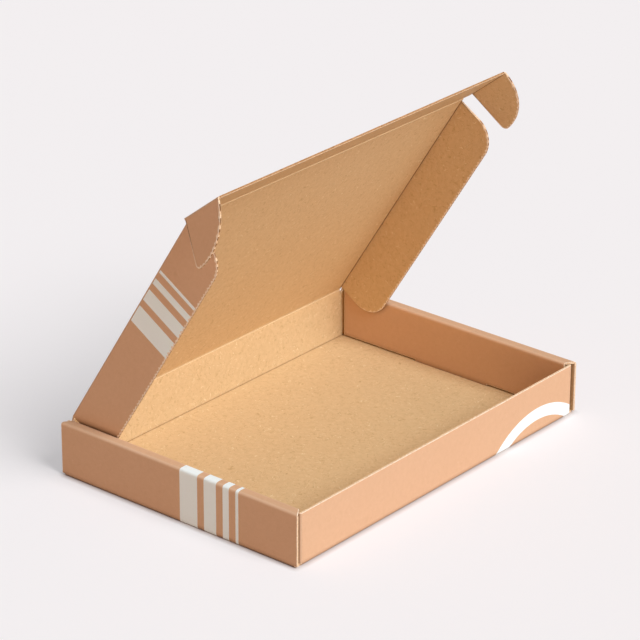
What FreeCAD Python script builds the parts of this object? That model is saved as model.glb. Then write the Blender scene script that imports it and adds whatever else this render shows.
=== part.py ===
import FreeCAD, Part
import math
import os
import Sketcher

# Corrugated mailer box with rolled ends and a tuck-in front, standing half open.
# X runs along the long side, Y from the front to the back, Z up. The origin is the middle
# of the tray's underside. Lengths are millimetres, angles degrees.

os.makedirs("parts", exist_ok=True)
doc = FreeCAD.newDocument("mailer_box")

# Driving dimensions: alias, value, meaning.
DIMENSIONS = [
    ("board", 1.6, "thickness of the corrugated board"),
    ("fold_radius", 1.3, "outer radius of a crease folded square"),
    ("inner_length", 300.0, "between the inner panels of the two rolled ends"),
    ("side_length", 218.0, "outer side panel, front to back"),
    ("height", 41.4, "underside to the top of the rolled ends"),
    ("ear_slot", 2.8, "room between outer side panel and corner flap"),
    ("flap_play", 1.0, "room between corner flap and inner panel"),
    ("wall_recess", 0.6, "front and back wall inside the edges of the side panels"),
    ("front_height", 40.2, "top of the front wall above the underside"),
    ("spine_mitre", 4.8, "how far each end of the spine is cut back at its inner crease"),
    ("panel_lift", 1.2, "inner panel's lower edge above the floor, beside its tab"),
    ("tab_length", 68.0, "locking tab of an inner panel, along the panel"),
    ("tab_fit", 0.4, "clearance of the tab in its slot in the base, all round"),
    ("tab_rise", 0.3, "tab's lower edge above the underside"),
    ("corner_flap_gap", 5.0, "between the ends of the two corner flaps of one side"),
    ("corner_flap_fit", 0.5, "corner flap above the floor and below the spine"),
    ("hinge_relief", 1.7, "radius of the relief cut at each end of the lid's crease"),
    ("hinge_relief_reach", 1.9, "centre of the relief cut beyond the edge of the lid"),
    ("crease_gap", 0.1, "running gap at a crease that opens and closes"),
    ("lid_open_angle", 58.0, "lid above its closed position"),
    ("tuck_fit", 0.7, "closed tuck flap in front of the side panels"),
    ("tuck_depth", 40.4, "tuck flap from its crease to its free edge"),
    ("tuck_corner", 2.0, "corner radius of the tuck flap"),
    ("tuck_fold_angle", 20.0, "tuck flap folded inward from the plane of the lid"),
    ("lid_flap_fit", 0.8, "lid flap inside the inner panel when the lid is closed"),
    ("lid_flap_depth", 37.8, "lid flap below the inside of the lid"),
    ("lid_flap_start", 2.6, "hinge crease to the lid flap's near end"),
    ("lid_flap_front_fit", 0.6, "lid flap's far end behind the closed front wall"),
    ("lid_flap_corner", 19.0, "corner radius of the lid flap"),
    ("ear_start", 2.4, "lid crease to the near end of the ear's crease"),
    ("ear_radius", 37.0, "ear's round edge about the near end of its crease"),
    ("ear_tip", 4.0, "radius of the ear's tip"),
    ("ear_fold_angle", 70.0, "ear folded from the plane of the tuck flap"),
    ("flute_pitch", 3.3, "one wave of the corrugated medium"),
    ("liner", 0.25, "face paper of the board"),
    ("medium", 0.25, "corrugated paper between the faces"),
    ("flute_stop", 3.0, "crushed flutes beside a crease"),
]
sizes = doc.addObject("Spreadsheet::Sheet", "sizes")
for row, (alias, value, meaning) in enumerate(DIMENSIONS, start=1):
    sizes.set(f"A{row}", meaning)
    sizes.set(f"B{row}", str(value))
    sizes.setAlias(f"B{row}", alias)
doc.recompute()

# Places that follow from the dimensions, as expressions. X places are for the right-hand side.
BOARD = "sizes.board"
HALF_BOARD = "(sizes.board / 2)"
CREASE = "(sizes.board / 2 + sizes.crease_gap)"
INNER = "(sizes.inner_length / 2)"
OUTER = "(sizes.inner_length / 2 + 3 * sizes.board + sizes.ear_slot + sizes.flap_play)"
SLOT_OUTER = f"({OUTER} - sizes.board)"
SLOT_INNER = f"({OUTER} - sizes.board - sizes.ear_slot)"
SIDE_END = "(sizes.side_length / 2)"
PANEL_END = "(sizes.side_length / 2 - sizes.spine_mitre)"
WALL = "(sizes.side_length / 2 - sizes.wall_recess)"
HINGE = f"({WALL} - sizes.board / 2)"
SPINE_UNDER = "(sizes.height - sizes.board)"
LID_LENGTH = f"({HINGE} + sizes.side_length / 2 + sizes.tuck_fit + sizes.board / 2)"
LID_FLAP_PIVOT = f"({INNER} - sizes.lid_flap_fit - sizes.board)"
LID_HALF = f"({LID_FLAP_PIVOT} - sizes.crease_gap)"
LID_FLAP_END = f"({HINGE} + {WALL} - sizes.board - sizes.lid_flap_front_fit)"
EAR_PIVOT = f"({OUTER} - sizes.board - sizes.ear_slot / 2)"
TUCK_HALF = f"({EAR_PIVOT} - {CREASE})"

# How closely an edge has to match when it is picked by its direction and place.
STRAIGHT_TOLERANCE = 1e-6
PLACE_TOLERANCE = 1e-4


def number(expression):
    """An expression worked out with the dimensions, as a plain number."""
    return float(sizes.evalExpression(f"1 * ({expression})"))


def new_body(name):
    """A body whose label is the name of its node and file."""
    body = doc.addObject("PartDesign::Body", name)
    body.Label = name
    return body


def new_sketch(body, name, plane, offset="0"):
    """A sketch on one of the body's own origin planes, moved along its normal by offset."""
    sketch = body.newObject("Sketcher::SketchObject", name)
    support = next(item for item in body.Origin.OriginFeatures if item.Role == plane)
    sketch.AttachmentSupport = [(support, "")]
    sketch.MapMode = "FlatFace"
    if offset != "0":
        sketch.setExpression("AttachmentOffset.Base.z", offset)
    return sketch


def tie_point(sketch, geometry, end, x, y):
    """Ties one point of a sketch to two expressions measured from the sketch's origin."""
    for kind, axis, expression in (("DistanceX", -2, x), ("DistanceY", -1, y)):
        if expression == "0":
            sketch.addConstraint(Sketcher.Constraint("PointOnObject", geometry, end, axis))
            continue
        tie = Sketcher.Constraint(kind, -1, 1, geometry, end, number(expression))
        index = sketch.addConstraint(tie)
        sketch.setExpression(f"Constraints[{index}]", expression)


def tie_radius(sketch, geometry, radius):
    """Ties the radius of a circle or arc to an expression."""
    index = sketch.addConstraint(Sketcher.Constraint("Radius", geometry, number(radius)))
    sketch.setExpression(f"Constraints[{index}]", radius)


def draw_polygon(sketch, corners):
    """Closed outline of straight lines whose corners are pairs of expressions."""
    places = [FreeCAD.Vector(number(x), number(y), 0) for x, y in corners]
    first = sketch.GeometryCount
    for start, end in zip(places, places[1:] + places[:1]):
        sketch.addGeometry(Part.LineSegment(start, end), False)
    for index, (x, y) in enumerate(corners):
        before = first + (index - 1) % len(corners)
        sketch.addConstraint(Sketcher.Constraint("Coincident", before, 2, first + index, 1))
        tie_point(sketch, first + index, 1, x, y)


def draw_rectangle(sketch, left, right, low, high):
    """Rectangle between four expressions."""
    draw_polygon(sketch, [(left, low), (right, low), (right, high), (left, high)])


def draw_circle(sketch, x, y, radius):
    """Circle about the point x, y."""
    centre = FreeCAD.Vector(number(x), number(y), 0)
    circle = Part.Circle(centre, FreeCAD.Vector(0, 0, 1), number(radius))
    index = sketch.addGeometry(circle, False)
    tie_point(sketch, index, 3, x, y)
    tie_radius(sketch, index, radius)


def draw_quadrant(sketch, x, y, radius, turn):
    """Quarter disc about the point x, y, whose first straight side lies turn degrees from +X."""
    centre = FreeCAD.Vector(number(x), number(y), 0)
    reach = number(radius)
    start, end = math.radians(turn), math.radians(turn + 90)
    begin = centre + FreeCAD.Vector(reach * math.cos(start), reach * math.sin(start), 0)
    finish = centre + FreeCAD.Vector(reach * math.cos(end), reach * math.sin(end), 0)
    circle = Part.Circle(centre, FreeCAD.Vector(0, 0, 1), reach)
    out = sketch.addGeometry(Part.LineSegment(centre, begin), False)
    arc = sketch.addGeometry(Part.ArcOfCircle(circle, start, end), False)
    back = sketch.addGeometry(Part.LineSegment(finish, centre), False)
    tie_point(sketch, out, 1, x, y)
    sketch.addConstraint(Sketcher.Constraint("Coincident", out, 2, arc, 1))
    sketch.addConstraint(Sketcher.Constraint("Coincident", arc, 2, back, 1))
    sketch.addConstraint(Sketcher.Constraint("Coincident", back, 2, out, 1))
    sketch.addConstraint(Sketcher.Constraint("Coincident", arc, 3, out, 1))
    level, upright = (out, back) if turn % 180 == 0 else (back, out)
    sketch.addConstraint(Sketcher.Constraint("Horizontal", level))
    sketch.addConstraint(Sketcher.Constraint("Vertical", upright))
    tie_radius(sketch, arc, radius)


def extrude(body, kind, sketch, name, length, side="One side", away=False):
    """Pad or Pocket of a sketch, checked to add or to take off material."""
    volume = body.Shape.Volume if body.Tip else 0
    feature = body.newObject(f"PartDesign::{kind}", name)
    feature.Profile = sketch
    feature.SideType = side
    feature.Reversed = away
    feature.setExpression("Length", length)
    doc.recompute()
    change = body.Shape.Volume - volume
    if change == 0 or (change > 0) != (kind == "Pad"):
        raise RuntimeError(f"{body.Label}: {name} changes the volume by {change}")
    return feature


def pad_block(body, name, left, right, low, high, base, top, away=False):
    """Panel over a rectangle in plan, between the heights base and top."""
    sketch = new_sketch(body, f"{name}_outline", "XY_Plane", base)
    draw_rectangle(sketch, left, right, low, high)
    return extrude(body, "Pad", sketch, name, f"{top} - {base}", away=away)


def pad_knuckle(body, name, start, length, side="One side"):
    """Rounded edge of a panel that turns about its crease, along X at the body's origin."""
    sketch = new_sketch(body, f"{name}_outline", "YZ_Plane", start)
    draw_circle(sketch, "0", "0", HALF_BOARD)
    return extrude(body, "Pad", sketch, name, length, side=side)


def edges_along(shape, axis, places):
    """Names of the straight edges along an axis that pass through one of the places.

    A place gives the other two coordinates of the edge, in the order X, Y, Z."""
    others = [index for index in range(3) if index != axis]
    names = []
    for index, edge in enumerate(shape.Edges, start=1):
        ends = [vertex.Point for vertex in edge.Vertexes]
        if len(ends) != 2:
            continue
        if abs(abs(ends[1][axis] - ends[0][axis]) - edge.Length) > STRAIGHT_TOLERANCE:
            continue
        for place in places:
            near = [abs(point[other] - at) < PLACE_TOLERANCE for point in ends
                    for other, at in zip(others, place)]
            if all(near):
                names.append(f"Edge{index}")
    return names


def round_edges(body, name, radius, edges):
    """Fillet of the named edges of the body's last feature."""
    rounded = body.Tip
    fillet = body.newObject("PartDesign::Fillet", name)
    fillet.Base = (rounded, edges)
    fillet.setExpression("Radius", radius)
    doc.recompute()


def cut_flutes(body, start, end, depth, low):
    """Open cells of the corrugated medium, from the free edge at Y depth to the crushed crease.

    The medium is a zigzag between the two liners. Each wave leaves two triangular cells,
    one on each side of it, and the cells repeat along X from start to end."""
    pitch, wall = "sizes.flute_pitch", "sizes.medium"
    floor, roof = f"({low} + sizes.liner)", f"({low} + sizes.board - sizes.liner)"
    rise = f"(2 * sizes.medium * (sizes.board - 2 * sizes.liner) / {pitch})"
    first = f"({start} + sizes.board / 2)"
    sketch = new_sketch(body, "flute_cells", "XZ_Plane", f"-({depth})")
    draw_polygon(sketch, [(f"{first} + {wall}", floor), (f"{first} + {pitch} - {wall}", floor),
                          (f"{first} + {pitch} / 2", f"{roof} - {rise}")])
    draw_polygon(sketch, [(f"{first} + {pitch} / 2 + {wall}", roof),
                          (f"{first} + {pitch}", f"{floor} + {rise}"),
                          (f"{first} + 3 * {pitch} / 2 - {wall}", roof)])
    cell = extrude(body, "Pocket", sketch, "flute", f"{depth} - sizes.flute_stop", away=True)
    waves = f"floor(({end} - {start} - sizes.board) / {pitch} - 0.5)"
    row = body.newObject("PartDesign::LinearPattern", "flutes")
    row.Originals = [cell]
    row.Direction = (sketch, ["H_Axis"])
    row.setExpression("Occurrences", waves)
    row.setExpression("Length", f"({waves} - 1) * {pitch}")
    one_wave = body.Shape.Volume
    body.Tip = row
    doc.recompute()
    if body.Shape.Volume >= one_wave:
        raise RuntimeError(f"{body.Label}: the row of flutes cuts nothing")


def build_tray():
    """Base, four walls, corner flaps and rolled ends, folded from one sheet."""
    body = new_body("tray")
    pad_block(body, "base", f"-{OUTER}", OUTER, f"-{WALL}", WALL, "0", BOARD)

    slots = new_sketch(body, "tab_slots_outline", "XY_Plane")
    half = "(sizes.tab_length / 2 + sizes.tab_fit)"
    near, far = f"({INNER} - sizes.tab_fit)", f"({INNER} + sizes.board + sizes.tab_fit)"
    draw_rectangle(slots, near, far, f"-{half}", half)
    draw_rectangle(slots, f"-{far}", f"-{near}", f"-{half}", half)
    extrude(body, "Pocket", slots, "tab_slots", BOARD, away=True)

    pad_block(body, "front_wall", f"-{SLOT_INNER}", SLOT_INNER,
              f"-{WALL}", f"-{WALL} + sizes.board", "0", "sizes.front_height")
    pad_block(body, "back_wall", f"-{SLOT_INNER}", SLOT_INNER,
              f"{WALL} - sizes.board", WALL, "0", f"(sizes.height - {CREASE})")

    relief = new_sketch(body, "hinge_relief_outline", "XZ_Plane", f"-({WALL})")
    centre = f"({LID_HALF} + sizes.hinge_relief_reach)"
    for place in (centre, f"-{centre}"):
        draw_circle(relief, place, f"(sizes.height - {CREASE})", "sizes.hinge_relief")
    extrude(body, "Pocket", relief, "hinge_relief", BOARD, away=True)

    rolled_end = [
        pad_block(body, "side_panel", SLOT_OUTER, OUTER, f"-{SIDE_END}", SIDE_END,
                  "0", "sizes.height"),
        pad_block(body, "inner_panel", INNER, f"{INNER} + sizes.board",
                  f"-{PANEL_END}", PANEL_END, "(sizes.board + sizes.panel_lift)", "sizes.height"),
        pad_block(body, "tab", INNER, f"{INNER} + sizes.board", "-sizes.tab_length / 2",
                  "sizes.tab_length / 2", "sizes.tab_rise", "(sizes.board + sizes.panel_lift)"),
    ]
    spine = new_sketch(body, "spine_outline", "XY_Plane", SPINE_UNDER)
    draw_polygon(spine, [(OUTER, f"-{SIDE_END}"), (OUTER, SIDE_END),
                         (INNER, PANEL_END), (INNER, f"-{PANEL_END}")])
    rolled_end.append(extrude(body, "Pad", spine, "spine", BOARD))

    flap_low = "(sizes.board + sizes.corner_flap_fit)"
    flaps = new_sketch(body, "corner_flaps_outline", "XY_Plane", flap_low)
    for near, far in ((f"-{WALL}", "-sizes.corner_flap_gap / 2"),
                      ("sizes.corner_flap_gap / 2", WALL)):
        draw_rectangle(flaps, f"{SLOT_INNER} - sizes.board", SLOT_INNER, near, far)
    flap_height = f"{SPINE_UNDER} - sizes.corner_flap_fit - {flap_low}"
    rolled_end.append(extrude(body, "Pad", flaps, "corner_flaps", flap_height))

    mirror = body.newObject("PartDesign::Mirrored", "other_end")
    mirror.Originals = rolled_end
    middle = next(item for item in body.Origin.OriginFeatures if item.Role == "YZ_Plane")
    mirror.MirrorPlane = (middle, [""])
    one_end = body.Shape.Volume
    body.Tip = mirror
    doc.recompute()
    if body.Shape.Volume <= one_end:
        raise RuntimeError("tray: the other rolled end is missing")

    outer, inner, corner = number(OUTER), number(INNER), number(SLOT_INNER)
    wall, top = number(WALL), number("sizes.height")
    shape = body.Shape
    folds = edges_along(shape, 1, [(side * x, z) for side in (-1, 1)
                                   for x, z in ((outer, 0), (outer, top), (inner, top))])
    folds += edges_along(shape, 0, [(-wall, 0), (wall, 0)])
    folds += edges_along(shape, 2, [(x, y) for x in (-corner, corner) for y in (-wall, wall)])
    round_edges(body, "folds", "sizes.fold_radius", folds)
    return body


def build_lid_panel():
    """Flat lid from the hinge crease on the back wall to the crease of the tuck flap."""
    body = new_body("lid_panel")
    pad_block(body, "panel", f"-{LID_HALF}", LID_HALF, "0", f"{LID_LENGTH} - {CREASE}",
              f"(-{HALF_BOARD})", HALF_BOARD)
    pad_knuckle(body, "hinge_crease", "0", f"2 * {LID_HALF}", side="Symmetric")
    body.setExpression("Placement", f"placement(vector(0; {HINGE}; sizes.height);"
                                    " rotation(vector(1; 0; 0); 180 - sizes.lid_open_angle))")
    return body


def build_tuck_flap():
    """Front flap of the lid, which tucks down outside the front wall."""
    body = new_body("tuck_flap")
    pad_block(body, "panel", f"-{TUCK_HALF}", TUCK_HALF, "0", "sizes.tuck_depth",
              f"(-{HALF_BOARD})", HALF_BOARD)
    pad_knuckle(body, "lid_crease", "0", f"2 * {LID_HALF}", side="Symmetric")
    half, depth = number(TUCK_HALF), number("sizes.tuck_depth")
    corners = edges_along(body.Shape, 2, [(-half, depth), (half, depth)])
    round_edges(body, "corners", "sizes.tuck_corner", corners)
    body.setExpression("Placement", f"lid_panel.Placement * placement(vector(0; {LID_LENGTH}; 0);"
                                    " rotation(vector(1; 0; 0); sizes.tuck_fold_angle))")
    return body


def build_lid_flap(name, side):
    """Dust flap of the lid, turned square into the tray. Side is 1 at the right, -1 at the left.

    X runs along its crease from the hinge, Y down to the free edge, Z to the right."""
    body = new_body(name)
    sketch = new_sketch(body, "panel_outline", "XY_Plane")
    draw_rectangle(sketch, "sizes.lid_flap_start", LID_FLAP_END, "0", "sizes.lid_flap_depth")
    extrude(body, "Pad", sketch, "panel", BOARD, away=side < 0)
    bend = new_sketch(body, "bend_outline", "YZ_Plane", "sizes.lid_flap_start")
    draw_quadrant(bend, "0", "0", BOARD, 90 if side > 0 else 180)
    extrude(body, "Pad", bend, "bend", f"{LID_FLAP_END} - sizes.lid_flap_start")
    start, end = number("sizes.lid_flap_start"), number(LID_FLAP_END)
    depth = number("sizes.lid_flap_depth")
    corners = edges_along(body.Shape, 2, [(start, depth), (end, depth)])
    round_edges(body, "corners", "sizes.lid_flap_corner", corners)
    cut_flutes(body, "sizes.lid_flap_start", LID_FLAP_END, "sizes.lid_flap_depth",
               "0" if side > 0 else "(-sizes.board)")
    body.setExpression("Placement", "lid_panel.Placement * placement("
                                    f"vector({side} * {LID_FLAP_PIVOT}; 0; {HALF_BOARD});"
                                    " rotation(vector(1; 1; 1); 120))")
    return body


def build_ear(name, side):
    """Round locking ear at an end of the tuck flap. Side is 1 at the right, -1 at the left.

    X runs along its crease from the lid, Y out to the tip."""
    body = new_body(name)
    sketch = new_sketch(body, "panel_outline", "XY_Plane", f"(-{HALF_BOARD})")
    draw_quadrant(sketch, "sizes.ear_start", "0", "sizes.ear_radius", 0)
    extrude(body, "Pad", sketch, "panel", BOARD)
    pad_knuckle(body, "tuck_crease", "sizes.ear_start", "sizes.ear_radius")
    start, reach = number("sizes.ear_start"), number("sizes.ear_radius")
    tip = edges_along(body.Shape, 2, [(start, reach)])
    round_edges(body, "tip", "sizes.ear_tip", tip)
    cut_flutes(body, "sizes.ear_start", "(sizes.ear_start + sizes.ear_radius)",
               "sizes.ear_radius", f"(-{HALF_BOARD})")
    lie = ("rotation(vector(1; 1; 0); 180)" if side > 0 else "rotation(vector(0; 0; 1); 90)")
    body.setExpression("Placement", "tuck_flap.Placement * placement("
                                    f"vector({side} * {EAR_PIVOT}; 0; 0);"
                                    f" rotation(vector(0; 1; 0); -{side} * sizes.ear_fold_angle)) *"
                                    f" placement(vector(0; 0; 0); {lie})")
    return body


nodes = [
    build_tray(),
    build_lid_panel(),
    build_tuck_flap(),
    build_lid_flap("lid_flap_left", -1),
    build_lid_flap("lid_flap_right", 1),
    build_ear("ear_left", -1),
    build_ear("ear_right", 1),
]
doc.recompute()

for item in doc.Objects:
    if "Invalid" in item.State or "Error" in item.State:
        raise RuntimeError(f"{item.Name}: {item.State}")
for node in nodes:
    if node.Shape.isNull() or not node.Shape.isValid() or len(node.Shape.Solids) != 1:
        raise RuntimeError(f"{node.Label}: not one valid solid")

for node in nodes:
    node.Shape.exportStep(f"parts/{node.Label}.step")
    box = node.Shape.BoundBox
    print(f"{node.Label}: volume {node.Shape.Volume:.0f} mm3, X {box.XMin:.1f} to {box.XMax:.1f},"
          f" Y {box.YMin:.1f} to {box.YMax:.1f}, Z {box.ZMin:.1f} to {box.ZMax:.1f}")
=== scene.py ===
import logging
import math
from collections.abc import Callable
from dataclasses import dataclass, replace
from enum import Enum

import bpy
import numpy as np
from mathutils import Matrix


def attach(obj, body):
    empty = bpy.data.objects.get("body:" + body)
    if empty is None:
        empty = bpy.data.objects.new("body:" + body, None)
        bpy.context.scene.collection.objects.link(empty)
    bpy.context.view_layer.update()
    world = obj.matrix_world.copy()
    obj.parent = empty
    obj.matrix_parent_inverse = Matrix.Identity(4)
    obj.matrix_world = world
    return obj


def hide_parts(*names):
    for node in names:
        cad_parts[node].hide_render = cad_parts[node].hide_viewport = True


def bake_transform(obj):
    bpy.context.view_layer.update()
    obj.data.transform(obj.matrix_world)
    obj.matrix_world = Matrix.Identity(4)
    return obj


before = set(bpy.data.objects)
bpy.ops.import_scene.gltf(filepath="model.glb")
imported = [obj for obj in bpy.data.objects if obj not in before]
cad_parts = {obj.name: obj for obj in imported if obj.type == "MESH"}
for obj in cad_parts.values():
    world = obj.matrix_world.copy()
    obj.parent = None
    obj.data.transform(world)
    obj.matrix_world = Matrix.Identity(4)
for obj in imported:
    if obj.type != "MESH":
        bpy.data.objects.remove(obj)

# A corrugated mailer box with rolled ends, half open. Sizes are millimetres and angles are
# degrees until a mesh or a lamp is made, and X is the long side, Y front to back, Z up.

Array = np.ndarray
Values = float | np.ndarray
Chain = Callable[[np.ndarray], np.ndarray]
Socket = bpy.types.NodeSocket

MM = 0.001
TINY = 1e-6
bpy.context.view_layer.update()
LOG = logging.getLogger("mailer_box")


class Side(Enum):
    """An end of the box, with the sign of its X places."""

    LEFT = -1
    RIGHT = 1

    @property
    def word(self) -> str:
        """Name of the side in lower case."""
        return self.name.lower()


class Finish(Enum):
    """Surfaces of the board, in the order of the material slots of each piece."""

    OUTER = 0
    INNER = 1
    CUT = 2
    MEDIUM = 3
    WORN = 4


Materials = dict[Finish, bpy.types.Material]


@dataclass(frozen=True)
class Board:
    """E flute board: two liners with a wavy medium between them. Also how a crease crushes it and
    where it carries painted highlight and shade, how its cut edges are worn, how deep their
    hollows are and how closely its mesh is sampled."""

    thickness: float = 1.6
    liner: float = 0.25
    medium: float = 0.2
    pitch: float = 3.3
    bend_radius: float = 0.75
    crease_reach: float = 0.9
    crease_width: float = 0.8
    crush_outer: float = 0.25
    crush_inner: float = 0.45
    bead: float = 0.14
    bead_offset: float = 1.25
    bead_width: float = 0.45
    # painted light at creases: a highlight on the outer fold and the inner beads, and shade in the
    # middle of an inner crease and beside the dust flaps' creases
    fold_highlight: float = 0.4
    bead_highlight_offset: float = 1.2
    bead_highlight_width: float = 0.5
    crease_shade: float = -0.45
    crease_shade_width: float = 1.3
    flap_crease_shade: float = -1.6
    side_shade_reach: float = 1.8
    cut_recess: float = 0.12
    slit_recess: float = 1.2
    deep_recess: float = 0.5
    worn_width: float = 0.45
    worn_drop: float = 0.13
    flap_wear: float = 1.9
    tip_wear: float = 2.375
    cell_depth: float = 6.0
    medium_recess: float = 0.12
    medium_end: float = 0.6
    run_steps: int = 4
    run_steps_per_root: float = 2.6
    bend_steps: int = 10
    steps_per_flute: int = 8
    wave_steps_per_flute: int = 14
    relief_points: int = 15
    tuck_points: int = 9
    corner_points: int = 72
    tip_points: int = 13
    disc_points: int = 120
    foot_points: int = 6

    @property
    def half(self) -> float:
        """Half the thickness of the flat board."""
        return self.thickness / 2

    @property
    def wave(self) -> float:
        """Height of the medium's wave above the middle of the board."""
        return self.half - self.liner - self.medium / 2


@dataclass(frozen=True)
class BoxSizes:
    """Places of the panels of the box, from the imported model."""

    outer: float = 158.6
    inner: float = 150.0
    side_end: float = 109.0
    panel_end: float = 104.2
    height: float = 41.4
    wall_middle: float = 107.6
    corner_flap: float = 153.4
    front_top: float = 40.2
    back_top: float = 40.5
    panel_low: float = 2.8
    tab_low: float = 0.3
    tab_half: float = 34.0
    slot_half: float = 34.4
    slot_inner: float = 149.6
    slot_outer: float = 152.0
    flap_gap: float = 2.5
    flap_low: float = 2.1
    flap_high: float = 39.3
    neck_start: float = 1.2
    neck_length: float = 1.5
    relief_centre: float = 149.4
    relief_radius: float = 1.7
    lid_half: float = 147.6
    lid_length: float = 218.1
    lid_open: float = 58.0
    tuck_fold: float = 20.0
    tuck_half: float = 154.7
    tuck_depth: float = 40.4
    tuck_corner: float = 2.0
    flap_start: float = 2.6
    flap_end: float = 213.8
    flap_depth: float = 37.8
    flap_corner: float = 19.0
    flap_room: float = 0.1
    ear_axis: float = 155.6
    ear_start: float = 2.4
    ear_radius: float = 37.0
    ear_tip: float = 4.0
    ear_foot: float = 2.07
    ear_fold: float = 70.0

    @property
    def blank_hinge(self) -> float:
        """Place of the hinge crease in the flat blank."""
        return self.wall_middle + self.height


BOARD = Board()
SIZES = BoxSizes()


def unit(*values: float) -> Array:
    """A direction as an array of floats."""
    return np.array(values, float)


def turned(first: Array, second: Array, angle: float) -> tuple[Array, Array]:
    """Turns two square directions, the first towards the second: the first becomes cosine times
    itself plus sine times the second.

    Args:
        first: First direction.
        second: Second direction.
        angle: Angle of the turn.

    Returns:
        Both directions after the turn.
    """
    cosine, sine = math.cos(math.radians(angle)), math.sin(math.radians(angle))
    return cosine * first + sine * second, cosine * second - sine * first


@dataclass(frozen=True)
class Plane:
    """A section plane with its two directions, and the direction the section is drawn along."""

    origin: Array
    across: Array
    upward: Array
    along: Array

    def place(self, first: Array, second: Array, third: Array) -> Array:
        """Points in the frame for three coordinate arrays of this plane.

        Args:
            first: Coordinates along the first direction.
            second: Coordinates along the second direction.
            third: Coordinates along the direction of drawing.

        Returns:
            Points with one more axis than the arrays.
        """
        return (self.origin + np.multiply.outer(first, self.across)
                + np.multiply.outer(second, self.upward) + np.multiply.outer(third, self.along))


ORIGIN, X_AXIS, Y_AXIS, Z_AXIS = unit(0, 0, 0), unit(1, 0, 0), unit(0, 1, 0), unit(0, 0, 1)
BOX_SECTION = Plane(ORIGIN, Y_AXIS, Z_AXIS, X_AXIS)


@dataclass(frozen=True)
class Run:
    """A straight stretch of a folded board, with marks where the mesh needs a line."""

    length: float
    marks: tuple[float, ...] = ()


@dataclass(frozen=True)
class Bend:
    """A crease, turned to the left by an angle, with the radius of the board's middle."""

    angle: float
    radius: float = BOARD.bend_radius


@dataclass(frozen=True)
class FoldLine:
    """Middle line of a folded board in its section plane."""

    points: Array
    headings: Array
    lengths: Array
    creases: Array


def fold_line(start: tuple[float, float], heading: float, steps: tuple) -> FoldLine:
    """Follows runs and bends from a start. A run is sampled at half of one minus the cosine of even
    angles, which crowds its samples towards the creases at its ends. Towards a cut end it isn't
    crowded: only the half of that curve next to the crease is used. A run between two cuts has
    even steps, and a bend even angles.

    Args:
        start: First point in the section plane.
        heading: First direction, from the plane's first axis.
        steps: Runs and bends in order.

    Returns:
        The sampled line.
    """
    place, turn, walked = np.array(start, float), math.radians(heading), 0.0
    points, headings, lengths, creases = [place[None]], [np.array([turn])], [np.zeros(1)], []
    for order, step in enumerate(steps):
        if isinstance(step, Run):
            count = int(BOARD.run_steps + BOARD.run_steps_per_root * math.sqrt(step.length))
            begin = 0.5 if order == 0 else 0.0
            finish = 0.5 if order == len(steps) - 1 else 1.0
            shares = np.linspace(0, 1, count + 1)
            if begin < finish:
                curve = np.cos(math.pi * (begin + (finish - begin) * shares))
                shares = (curve[0] - curve) / (curve[0] - curve[-1])
            far = np.unique(np.round(np.concatenate(
                [shares[1:] * step.length, np.array(step.marks, float)]), 6))
            points.append(place + far[:, None] * np.array([math.cos(turn), math.sin(turn)]))
            headings.append(np.full(len(far), turn))
            lengths.append(walked + far)
        else:
            total = math.radians(step.angle)
            turns = np.linspace(0, total, BOARD.bend_steps + 1)[1:]
            radius = math.copysign(step.radius, total)
            centre = place + radius * np.array([-math.sin(turn), math.cos(turn)])
            out = turn + turns
            points.append(centre + radius * np.stack([np.sin(out), -np.cos(out)], 1))
            headings.append(out)
            lengths.append(walked + np.abs(turns) * step.radius)
            creases.append(walked + abs(total) * step.radius / 2)
        place, turn, walked = points[-1][-1], float(headings[-1][-1]), float(lengths[-1][-1])
    return FoldLine(np.concatenate(points), np.concatenate(headings),
                    np.concatenate(lengths), np.array(creases))


def crease_line(start: tuple[float, float], heading: float, angle: float) -> FoldLine:
    """An arc whose ends lie a crease's reach from the fold: reach over tangent of half the turn."""
    radius = BOARD.crease_reach / math.tan(math.radians(angle / 2))
    return fold_line(start, heading, (Bend(angle, radius),))


BOARD_FINISHES = (Finish.OUTER, Finish.INNER, Finish.WORN, Finish.CUT, Finish.MEDIUM)


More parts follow.
